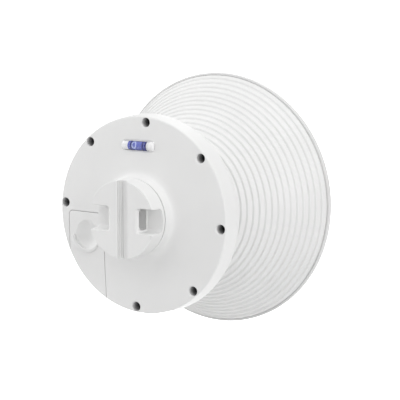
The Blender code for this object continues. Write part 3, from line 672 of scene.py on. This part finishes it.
def rear_profile():
    """Half section of the rear cover: outside from the collar to the parting line, then inside."""
    inner = FACE_RADIUS - WALL
    foot = COLLAR_FOOT_RADIUS
    seat = FOOT_DEPTH + GAP + SEAM
    return [
        (0, DIAPHRAGM_DEPTH),
        (SPIGOT_RADIUS + GAP, DIAPHRAGM_DEPTH),
        (SPIGOT_RADIUS + GAP, seat),
        *soften([(SPIGOT_RADIUS + GAP, seat), (FOOT_RADIUS, seat),
                 (COLLAR_RADIUS, COLLAR_LIP_DEPTH)], [0, 0.3, 0], 3)[1:],
        *collar_flare(foot),
        *face_profile(foot + 2),
        *arc((SPLIT_RADIUS - EDGE_SOFT, SPLIT_DEPTH - EDGE_SOFT), EDGE_SOFT, 0, 90, 3),
        (SPLIT_RADIUS - WALL, SPLIT_DEPTH),
        (inner, FACE_DEPTH + WALL + 0.8),
        (SEAL_RADII[1], FACE_DEPTH + WALL),
        (SEAL_RADII[1], SPLIT_DEPTH),
        (SEAL_RADII[0], SPLIT_DEPTH),
        (SEAL_RADII[0], FACE_DEPTH + WALL - 0.4),
        (foot, FACE_DEPTH + 0.9),
        (COLLAR_RADIUS - 1, DIAPHRAGM_DEPTH + WALL),
        (0, DIAPHRAGM_DEPTH + WALL),
    ]


def add_inner_walls(housing, centres):
    """Bosses round the wells, the block that the cable bay is cut from, and the level's tub."""
    bay_reach = FACE_RADIUS - WALL + 1
    bosses = [shifted(rod(WELL_RADIUS + WELL_WALL, FACE_DEPTH + 1.4, SPLIT_DEPTH), (x, 0, z))
              for x, z in centres if not BAY_ANGLES[0] < angle_of(x, z) < BAY_ANGLES[1]]
    carve(housing, gather(bosses), "UNION")
    bay = prism(cover_outline(-BAY_MARGIN, bay_reach), FACE_DEPTH + 0.4, SPLIT_DEPTH)
    carve(housing, bay, "UNION")
    tub = prism(level_outline(GAP + TUB_WALL), FACE_DEPTH, VIAL_DEPTH + VIAL_RADIUS + TUB_FLOOR)
    carve(housing, tub, "UNION")


def cut_cable_bay(housing):
    """The cover's seat, the bay below it, the gap for the cover's skirt and the cable's way out."""
    wide = cover_outline(-GAP - (EDGE_SOFT + SLIVER), OPEN_RADIUS)
    tight = cover_outline(-GAP, OPEN_RADIUS)
    carve(housing, loft([flat_ring(wide, OPEN_DEPTH), face_ring(wide, -SLIVER),
                         face_ring(tight, EDGE_SOFT), flat_ring(tight, COVER_SEAT_DEPTH + GAP)]))
    bay_reach = FACE_RADIUS - WALL - 0.4
    carve(housing, prism(cover_outline(BAY_WALL, bay_reach), OPEN_DEPTH + 1, BAY_FLOOR_DEPTH))
    carve(housing, block((COVER_SKIRT_X[0] - GAP, OPEN_DEPTH + 2, -SPLIT_RADIUS - 3),
                         (COVER_SKIRT_X[1] + GAP, COVER_SKIRT_DEPTH + GAP, SKIRT_GAP_TOP)))
    carve(housing, cable_hole())


def level_recess():
    """The level's recess, with a rounded rim on the crowned face."""
    rings = [flat_ring(level_outline(GAP + RECESS_SOFT + SLIVER), OPEN_DEPTH)]
    for i in range(7):
        turn = pi / 2 * i / 6
        rings.append(face_ring(level_outline(GAP + RECESS_SOFT * (1 - sin(turn))),
                               RECESS_SOFT * (1 - cos(turn)) - 0.03))
    rings.append(flat_ring(level_outline(GAP), VIAL_DEPTH + VIAL_RADIUS + GAP))
    return loft(rings)


def screw_well(x, z):
    """A well with a bevelled mouth, down to the screw's seat, and its clearance hole."""
    mouth = face_depth(hypot(x, z))
    mouth_radius = WELL_RADIUS + WELL_MOUTH + 0.5
    hole_radius = SHANK_RADIUS + GAP
    section = [(0, OPEN_DEPTH), (mouth_radius, OPEN_DEPTH), (mouth_radius, mouth - 0.5),
               (WELL_RADIUS, mouth + WELL_MOUTH), (WELL_RADIUS, WELL_DEPTH),
               (hole_radius, WELL_DEPTH), (hole_radius, SPLIT_DEPTH + 1), (0, SPLIT_DEPTH + 1)]
    hole = shifted(turned(section, SCREW_FACETS), (x, 0, z))
    for face in hole.faces:
        # the well's wall takes the material with painted shade
        face.material_index = 1
    return hole


def make_rear_housing(materials):
    housing = finish_mesh("rear_housing", turned(rear_profile()),
                          [materials["shell_white"], materials["well_painted_shade"]])
    centres = screw_centres()
    add_inner_walls(housing, centres)
    cut_cable_bay(housing)

    openings = [level_recess()]
    openings += [screw_well(x, z) for x, z in centres]
    jack_foot = box_mm("ethernet_jack")[0].z
    openings.append(block((CABLE_X - JACK_HALF_WIDTH, JACK_REAR_DEPTH, COVER_TOP - BAY_WALL - 1),
                          (CABLE_X + JACK_HALF_WIDTH, BAY_FLOOR_DEPTH - 0.2, jack_foot + 0.2)))
    button_x, button_depth, _ = box_middle("reset_button")
    button_hole = rod(BUTTON_HOLE_RADIUS, *BUTTON_HOLE_Z, 24, AXIS_Z)
    openings.append(shifted(button_hole, (button_x, button_depth, 0)))
    carve(housing, gather(openings))
    even_shading(housing)
    attach(housing, "housing", "shell_white", "rear_cover")


def make_front_housing(materials):
    rear = FRONT_LOW.y
    plate = FRONT_DEPTH - PLATE
    profile = soften([
        (BAND_RADIUS - WALL, rear),
        (BAND_RADIUS, rear),
        (NOSE_RADIUS + 0.3, FRONT_DEPTH - 1.2),
        (NOSE_RADIUS - 0.8, FRONT_DEPTH),
        (THROAT_RADIUS, FRONT_DEPTH),
        (THROAT_RADIUS, plate),
        (BAND_RADIUS - WALL - 0.6, plate),
    ], [0, 0.25, 0.6, 0.8, 0.2, 0.2, 0.5], 4, True)
    housing = finish_mesh("front_case", turned(profile), [materials["shell_white"]])
    centres = screw_centres()
    bosses = [shifted(rod(SHANK_RADIUS + PILOT_WALL, rear, plate + 1), (x, 0, z))
              for x, z in centres]
    carve(housing, gather(bosses), "UNION")
    pilots = [shifted(rod(SHANK_RADIUS + GAP, rear - 1, PILOT_DEPTH), (x, 0, z))
              for x, z in centres]
    carve(housing, gather(pilots))
    attach(housing, "housing", "shell_white", "front_housing")


def screw_profile():
    """Half section of a screw: a flanged pan head, a ridged shank and a flat end."""
    top = -HEAD_HEIGHT
    head = soften([(0, top), (0.62 * HEAD_RADIUS, top), (HEAD_RADIUS, 0.45 * top),
                   (HEAD_RADIUS, -GAP), (SHANK_RADIUS, -GAP)], [0, 0.7, 0.25, 0.1, 0], 4)
    ridges = []
    depth = 0.0
    while depth < SHANK_LENGTH - 0.4:
        ridges += [(SHANK_RADIUS, depth), (SHANK_RADIUS - THREAD_DEPTH, depth + THREAD_PITCH / 2)]
        depth += THREAD_PITCH
    return head + ridges[1:] + [(0.6, SHANK_LENGTH), (0, SHANK_LENGTH)]


def screw_recess(steps=72):
    """The six-lobed hole for the driver."""
    lobes = []
    for i in range(steps):
        angle = 2 * pi * i / steps
        reach = LOBE_RADIUS + LOBE_SWELL * cos(6 * angle)
        lobes.append((reach * cos(angle), reach * sin(angle)))
    return prism(lobes, -HEAD_HEIGHT - 1, -HEAD_HEIGHT + RECESS_DEPTH)


def make_case_screws(materials):
    """The eight screws share one mesh. Each is turned to a different angle."""
    base = finish_mesh("case_screw_1", turned(screw_profile(), SCREW_FACETS),
                       [materials["screw_steel"]])
    carve(base, screw_recess())
    for i, node in enumerate(SCREW_NODES, 1):
        screw = base if i == 1 else bpy.data.objects.new(f"case_screw_{i}", base.data)
        if i > 1:
            bpy.context.scene.collection.objects.link(screw)
        x, _, z = box_middle(node)
        screw.location = Vector((x, WELL_DEPTH, z)) * MM
        screw.rotation_euler = (0, radians(SCREW_TURN * i), 0)
        attach(screw, "housing", "screw_steel", node)


# ---------------------------------------------------------------- saddle

def stepped_groove():
    """The pole's groove: steps on both sides, each with a fine relief along its foot."""
    width, depth = GROOVE_STEP
    nick_width, nick_depth = GROOVE_NICK
    top = -GROOVE_FLOOR / 2 - width * (GROOVE_STEPS - 1)
    left = [(top, -2)]
    for i in range(GROOVE_STEPS):
        x = top + width * i
        foot = x + GROOVE_LEAN
        tread = (i + 1) * depth
        left += [(x, i * depth), (foot, tread + nick_depth),
                 (foot + nick_width, tread + nick_depth), (foot + nick_width, tread)]
    whole = left + [(-x, y) for x, y in reversed(left)]
    radii = [0, 0] + [0.1] * (len(whole) - 4) + [0, 0]
    section = soften(whole, radii, 3, True)
    reach = SADDLE_RADIUS + 5
    return loft([[(x, y, height) for x, y in section] for height in (-reach, reach)])


def pocket_ring(depth, spread, side):
    """Outline of a strap pocket at a depth. spread is how far it opens past its inner end."""
    outer = FOOT_RADIUS + 4
    inner = SLOT_X - spread
    rim = min(spread, 0.5)
    corner = max(SLOT_CORNER + spread, 0.8)
    ring = soften([(outer, SLOT_Z[1] + rim), (inner, SLOT_Z[1] + rim),
                   (inner, SLOT_Z[0] - rim), (outer, SLOT_Z[0] - rim)],
                  [0, corner, corner, 0], 8, True)
    drop = (STRAP_FLOOR[1] - STRAP_FLOOR[0]) / (SADDLE_RADIUS - SLOT_X)
    drop *= min(max((depth - 5) / (STRAP_FLOOR[0] - 5), 0), 1)
    return [(side * x, depth + drop * max(x - SLOT_X, 0), z) for x, z in ring]


def strap_pocket(side):
    """A pocket open to the rear and to the side, with a round lip at its inner end."""
    turns = [pi / 2 * i / 8 for i in range(9)]
    rings = [pocket_ring(-3, SLOT_LIP, side)]
    rings += [pocket_ring(SLOT_LIP * (1 - cos(turn)), SLOT_LIP * (1 - sin(turn)), side)
              for turn in turns]
    rings += [pocket_ring(STRAP_FLOOR[0] - POCKET_FILLET * (1 - sin(turn)),
                          -POCKET_FILLET * (1 - cos(turn)), side) for turn in turns]
    return loft(rings)


def strap_passage():
    """The tunnel between the pockets: its roof arches behind the groove."""
    roof_end, roof_middle = STRAP_ROOF
    low, high = PASSAGE_Z
    at_roof, at_floor = PASSAGE_CORNERS
    rings = []
    count = 24
    for i in range(count + 1):
        x = PASSAGE_END * (2 * i / count - 1)
        roof = roof_middle - (roof_middle - roof_end) * min(abs(x) / SLOT_X, 1) ** 2
        floor = PASSAGE_FLOOR if 0 < i < count else STRAP_FLOOR[0] - 0.1
        ring = soften([(roof, low), (floor, low), (floor, high), (roof, high)],
                      [at_roof, at_floor, at_floor, at_roof], 6, True)
        rings.append([(x, y, z) for y, z in ring])
    return loft(rings)


def make_saddle(materials):
    """The round block with its spigot, cut by the groove, the pockets and the passage."""
    profile = soften([
        (0, 0),
        (SADDLE_RADIUS, 0),
        (FOOT_RADIUS, FOOT_DEPTH - SEAM),
        (SPIGOT_RADIUS, FOOT_DEPTH - SEAM),
        (SPIGOT_RADIUS, SADDLE_HIGH.y),
        (0, SADDLE_HIGH.y),
    ], [0, 0.45, 0.3, 0.2, 0.3, 0], 6)
    saddle = finish_mesh("saddle_block", turned(profile), [materials["saddle_white"]])
    aside = (SADDLE_OFFSET, 0, 0)
    for cutter in (stepped_groove(), strap_pocket(-1), strap_pocket(1), strap_passage()):
        carve(saddle, shifted(cutter, aside))
    even_shading(saddle)
    attach(saddle, "housing", "saddle_white", "pole_saddle")


# ---------------------------------------------------------------- cable cover

def cover_plate(materials):
    """The cover's plate and skirt, cut from the shape of the housing's own shell."""
    inner = FACE_RADIUS - WALL
    profile = [(0, face_depth(0)), *face_profile(20, 20),
               (wall_radius(COVER_SKIRT_DEPTH), COVER_SKIRT_DEPTH),
               (inner, COVER_SKIRT_DEPTH), (inner, COVER_SEAT_DEPTH), (0, COVER_SEAT_DEPTH)]
    cover = finish_mesh("slide_cover", turned(profile), [materials["shell_white"]])
    tight = cover_outline(EDGE_SOFT + SLIVER, OPEN_RADIUS)
    wide = cover_outline(0, OPEN_RADIUS)
    carve(cover, loft([flat_ring(tight, OPEN_DEPTH), face_ring(tight, -SLIVER),
                       face_ring(wide, EDGE_SOFT), flat_ring(wide, 35)]), "INTERSECT")
    ends = [block((COVER_X[0] - 2, COVER_SEAT_DEPTH, -OPEN_RADIUS),
                  (COVER_SKIRT_X[0], COVER_FLANGE_DEPTH, 0)),
            block((COVER_SKIRT_X[1], COVER_SEAT_DEPTH, -OPEN_RADIUS),
                  (COVER_X[1] + 2, COVER_FLANGE_DEPTH, 0))]
    carve(cover, gather(ends))
    return cover


def dish_pad():
    """The thicker round pad behind the thumb dish."""
    foot = COVER_SKIRT_DEPTH - GAP
    radius = DISH_RADIUS + 1.4
    section = soften([(0, COVER_SEAT_DEPTH - 1), (radius, COVER_SEAT_DEPTH - 1), (radius, foot),
                      (0, foot)], [0, 0, 0.8, 0], 4)
    return turned(section, SMALL_FACETS)


def thumb_dish(face):
    """A shallow ball's hollow in the face, with a softened edge."""
    ball = (DISH_RADIUS ** 2 + DISH_DEPTH ** 2) / (2 * DISH_DEPTH)
    reach = asin(DISH_RADIUS / ball) * 180 / pi
    bowl = arc((0, face + DISH_DEPTH - ball), ball, 90 - reach, 90, 14)
    section = [(0, 17), (DISH_RADIUS + 1.0, 17), (DISH_RADIUS + 1.0, face - 0.4),
               (DISH_RADIUS + 0.3, face - 0.02), *bowl[1:-1], (0, face + DISH_DEPTH)]
    return turned(section, FINE_FACETS)


def crescent_lip(face, count=48):
    """The curved lip under the thumb dish: a rounded bar bent round part of a ring."""
    near, far = LIP_RADII
    centre, half = (near + far) / 2, (far - near) / 2
    start, end = LIP_ANGLES
    root, shoulder = 1.2, -0.25 * LIP_HEIGHT
    rings = []
    for i in range(count + 1):
        s = i / count
        angle = radians(start + (end - start) * s)
        from_end = min(s, 1 - s) * radians(end - start) * centre
        swell = half * sqrt(max(1 - (1 - min(from_end / half, 1)) ** 2, 0.02))
        section = [(-swell, root), (-swell, shoulder)]
        section += [(-swell * cos(pi * k / 8), -LIP_HEIGHT * (0.25 + 0.75 * sin(pi * k / 8)))
                    for k in range(1, 8)]
        section += [(swell, shoulder), (swell, root)]
        rings.append([(DISH_XZ[0] + (centre + across) * cos(angle), face + out,
                       DISH_XZ[1] + (centre + across) * sin(angle)) for across, out in section])
    return loft(rings)


def make_cable_cover(materials):
    cover = cover_plate(materials)
    x, z = DISH_XZ
    middle = (x, 0, z)
    face = face_depth(hypot(x, z))
    carve(cover, shifted(dish_pad(), middle), "UNION")
    carve(cover, shifted(thumb_dish(face), middle))
    carve(cover, crescent_lip(face), "UNION")
    carve(cover, cable_hole())
    even_shading(cover)
    attach(cover, "cover", "shell_white", "cable_cover")


# ---------------------------------------------------------------- spirit level

def bubble_patch(size, radii, steps=16):
    """A thin oval patch wrapped round the inside of the tube, facing the rear."""
    half_length, half_turn = size
    rings = []
    for i in range(steps + 1):
        x = -half_length * cos(pi * i / steps)
        turn = half_turn * max(sin(pi * i / steps), 0.08)
        angles = [radians(BUBBLE_TURN + turn * (2 * k / 12 - 1)) for k in range(13)]
        ring = [(x, -radii[1] * cos(a), radii[1] * sin(a)) for a in angles]
        ring += [(x, -radii[0] * cos(a), radii[0] * sin(a)) for a in reversed(angles)]
        rings.append(ring)
    return loft(rings)


def along_level(profile):
    """Spin (radius, x) points about the level's own axis."""
    return shifted(turned(profile, SMALL_FACETS, AXIS_X), (LEVEL_ASIDE, VIAL_DEPTH, VIAL_Z))


def swapped(points):
    """(x, radius) points as (radius, x) points, or the other way round."""
    return [(b, a) for a, b in points]


def level_nose():
    """The round end of the tube, as (x, radius) points."""
    return arc((VIAL_LOW.x + NOSE, VIAL_RADIUS - NOSE), NOSE, 180, 90, 10)


def make_level_tube(materials, bore_start):
    end = VIAL_HIGH.x
    bore_end = arc((bore_start + 0.6, BORE_RADIUS - 0.6), 0.6, 90, 180, 4)
    profile = [(0, VIAL_LOW.x), *swapped(level_nose()), (VIAL_RADIUS, end), (BORE_RADIUS, end),
               *swapped(bore_end), (0, bore_start)]
    tube = finish_mesh("level_tube", along_level(profile), [materials["vial_acrylic"]])
    attach(tube, "housing", "vial_acrylic", "vial_tube")


def make_level_bed(materials):
    """White compound round the lower half of the level, hollowed to fit it."""
    bed = finish_mesh("level_bed", prism(level_outline(GAP - 0.02), *BED_DEPTHS),
                      [materials["cap_white"]])
    tail = arc((CAP_HIGH.x - NOSE, VIAL_RADIUS - NOSE), NOSE, 90, 0, 10)
    hull = [(0, VIAL_LOW.x), *swapped(level_nose() + tail), (0, CAP_HIGH.x)]
    wider, longer = BED_PLAY
    carve(bed, along_level([(radius * wider, x * longer) for radius, x in hull]))
    attach(bed, "housing", "cap_white")


def make_level_end(materials, bore_start):
    """The milky end of the tube."""
    start, stop = VIAL_LOW.x + 0.25, bore_start + 2.0
    radius = VIAL_RADIUS - 0.3
    profile = soften([(0, start), (radius, start), (radius, stop), (0, stop)], [0, 2.6, 0.1, 0], 10)
    plug = finish_mesh("level_end", along_level(profile), [materials["cap_white"]])
    attach(plug, "housing", "cap_white")


def make_level_liquid(materials):
    low, high = box_mm("vial_liquid")
    radius = BUBBLE_SKIN[0] - 0.03
    start, stop = low.x + 1.75, high.x + 0.5
    profile = soften([(0, start), (radius, start), (radius, stop), (0, stop)], [0, 0.2, 0.2, 0], 4)
    liquid = finish_mesh("level_liquid", along_level(profile), [materials["vial_blue"]])
    attach(liquid, "housing", "vial_blue", "vial_liquid")


def make_level_bubble(materials):
    """A pale skin, and over it the darker core that a real bubble shows."""
    core = (BUBBLE_SKIN[1], BUBBLE_SKIN[1] + 0.03)
    bubble = finish_mesh("level_bubble", bubble_patch(BUBBLE_SIZE, BUBBLE_SKIN),
                         [materials["bubble_air"]])
    heart = finish_mesh("bubble_heart", bubble_patch(HEART_SIZE, core), [materials["vial_blue"]])
    bubble_x = (BUBBLE_LOW.x + BUBBLE_HIGH.x) / 2
    for obj in (bubble, heart):
        obj.location = Vector((bubble_x, VIAL_DEPTH, VIAL_Z)) * MM
    attach(bubble, "bubble", "bubble_air", "vial_bubble")
    attach(heart, "bubble", "vial_blue")


def make_level_rings(materials):
    """Printed marks: thin bands that stand just clear of the tube."""
    inside, outside, taper = VIAL_RADIUS + 0.01, VIAL_RADIUS + 0.06, 0.05
    for number, (x, half) in enumerate(LEVEL_RINGS, 1):
        profile = [(inside, x - half), (outside, x - half + taper),
                   (outside, x + half - taper), (inside, x + half)]
        ring = finish_mesh(f"level_ring_{number}", along_level(profile), [materials["ring_ink"]])
        attach(ring, "housing", "chip_black")


def make_level_cap(materials):
    """The cap that closes the tube, with its stopper in the bore."""
    head = VIAL_HIGH.x + GAP
    stopper = CAP_LOW.x + 0.6
    stopper_radius = BORE_RADIUS - 0.04
    profile = soften([(0, stopper), (stopper_radius, stopper), (stopper_radius, head),
                      (VIAL_RADIUS, head), (VIAL_RADIUS, CAP_HIGH.x), (0, CAP_HIGH.x)],
                     [0, 0.3, 0, 0.2, NOSE, 0], 12)
    cap = finish_mesh("level_cap", along_level(profile), [materials["cap_white"]])
    attach(cap, "housing", "cap_white", "vial_cap")


def make_level(materials):
    bore_start = VIAL_LOW.x + BORE_INSET
    make_level_tube(materials, bore_start)
    make_level_bed(materials)
    make_level_end(materials, bore_start)
    make_level_liquid(materials)
    make_level_bubble(materials)
    make_level_rings(materials)
    make_level_cap(materials)


# ---------------------------------------------------------------- horn

def make_horn(materials):
    """Terraces go down from the rim to the foot. The bore is a straight throat and a cone."""
    radius, depth = RIB_START
    points = [(radius, MOUTH_LIP_DEPTH)]
    radii = [0.2]
    for _ in range(RIB_COUNT):
        points += [(radius, depth), (radius - RIB_WALL, depth - RIB_PITCH[1])]
        radii += [0.45, 0.85]
        radius -= RIB_PITCH[0]
        depth -= RIB_PITCH[1]
    radii[1] = 0.2
    points.pop()
    radii.pop()
    foot_radius, foot_height = HORN_FOOT
    foot_rear = HORN_LOW.y
    foot_front = foot_rear + foot_height
    points += [(points[-1][0] - 0.6, foot_front), (foot_radius, foot_front), (foot_radius, foot_rear)]
    radii += [0.6, 0.3, 0.1]
    slope = RIB_PITCH[0] / RIB_PITCH[1]
    knee = RIB_START[1] - (RIB_START[0] - (HORN_BORE + HORN_WALL)) / slope
    mouth = RIB_START[0] - HORN_WALL
    points += [(HORN_BORE, foot_rear), (HORN_BORE, knee), (mouth, RIB_START[1]),
               (mouth, MOUTH_LIP_DEPTH)]
    radii += [0.1, 4.0, 1.0, 0.1]
    horn = finish_mesh("terraced_horn", turned(soften(points, radii, 4, True)),
                       [materials["horn_white"]])
    attach(horn, "housing", "shell_white", "horn_shell")


def make_radome(materials):
    """A shallow dome with a rounded rim and a skirt over the horn's mouth."""
    skirt_inner = RIB_START[0] + GAP / 2
    dome_radius = RIM_RADIUS - RADOME_EDGE
    dome_rise = TOTAL_DEPTH - RIM_FRONT
    ball = (dome_radius ** 2 + dome_rise ** 2) / (2 * dome_rise)
    inner_ball = ball - RADOME_WALL
    centre = (0, TOTAL_DEPTH - ball)
    reach = asin(dome_radius / ball) * 180 / pi
    outside = arc(centre, ball, 90 - reach, 90, 24)[:-1]
    inner_reach = asin((skirt_inner - 2.4) / inner_ball) * 180 / pi
    inside = arc(centre, inner_ball, 90, 90 - inner_reach, 16)[1:-1]
    skirt = soften([(skirt_inner, RADOME_SHELF), (skirt_inner, RIM_DEPTH), (RIM_RADIUS, RIM_DEPTH),
                    (RIM_RADIUS, RIM_FRONT - RADOME_EDGE + 0.2), outside[0]],
                   [0, 0.4, 0.6, 0.9, 0], 5)
    profile = [(0, TOTAL_DEPTH - RADOME_WALL), *inside, (skirt_inner - 2.6, RADOME_SHELF), *skirt,
               *outside[1:], (0, TOTAL_DEPTH)]
    radome = finish_mesh("mouth_cap", turned(profile), [materials["radome_white"]])
    attach(radome, "housing", "shell_white", "radome")


# ---------------------------------------------------------------- stage

def make_camera():
    """A long lens at the photograph's angle."""
    camera = bpy.data.cameras.new("camera")
    camera.sensor_width = 36
    camera.lens = LENS
    camera.clip_end = 200
    obj = bpy.data.objects.new("camera", camera)
    obj.location = CAMERA_PLACE
    obj.rotation_euler = (radians(90 - CAMERA_ELEVATION), 0, radians(CAMERA_AZIMUTH))
    bpy.context.scene.collection.objects.link(obj)
    bpy.context.scene.camera = obj


def area_light(name, place, size, power):
    """A round soft light, unseen by the camera and pointed at the object."""
    light = bpy.data.lights.new(name, "AREA")
    light.shape = "DISK"
    light.size = size
    light.energy = power
    obj = bpy.data.objects.new(name, light)
    obj.location = place
    way = Vector(LIGHT_TARGET) - Vector(place)
    obj.rotation_euler = way.to_track_quat("-Z", "Y").to_euler()
    obj.visible_camera = False
    bpy.context.scene.collection.objects.link(obj)


def stage_sheet(name, drop, material):
    """A wide level sheet, this far below the object."""
    sheet = bmesh.new()
    bmesh.ops.create_circle(sheet, cap_ends=True, radius=SHEET_RADIUS / MM, segments=FINE_FACETS)
    height = (cad_box[0][2] - drop) / MM
    obj = finish_mesh(name, shifted(sheet, (0, 0, height)), [material])
    return obj


def make_stage():
    """A white floor for the camera, and a card just below it that throws the light back up."""
    paper = Nodes("floor_paper", Roughness=0.9, Specular_IOR_Level=0.1,
                  Emission_Color=(1, 1, 1, 1), Emission_Strength=1.0)
    paper.colour(paper.noise(3, 2.0), (0.90, 0.90, 0.90), (0.92, 0.92, 0.92))
    floor = stage_sheet("floor", FLOOR_DROP, paper.material)
    floor.visible_diffuse = False
    floor.visible_shadow = False
    card = Nodes("bounce_card", Roughness=0.9, Specular_IOR_Level=0.1)
    card.colour(card.noise(3, 2.0), (0.59, 0.59, 0.59), (0.61, 0.61, 0.61))
    bounce = stage_sheet("bounce_card", FLOOR_DROP + CARD_DROP, card.material)
    bounce.visible_camera = False
    bounce.visible_glossy = False


def make_lights():
    world = bpy.data.worlds.new("studio")
    world.use_nodes = True
    set_inputs(world.node_tree.nodes["Background"],
               {"Color": (1, 1, 1, 1), "Strength": WORLD_STRENGTH})
    bpy.context.scene.world = world
    bpy.context.scene.view_settings.view_transform = "Standard"
    for light in LIGHTS:
        area_light(*light)


# ---------------------------------------------------------------- the whole scene

make_camera()
looks = make_materials()
dress_cad_nodes(looks)
make_rear_housing(looks)
make_front_housing(looks)
make_case_screws(looks)
make_saddle(looks)
make_cable_cover(looks)
make_level(looks)
make_horn(looks)
make_radome(looks)
make_stage()
make_lights()
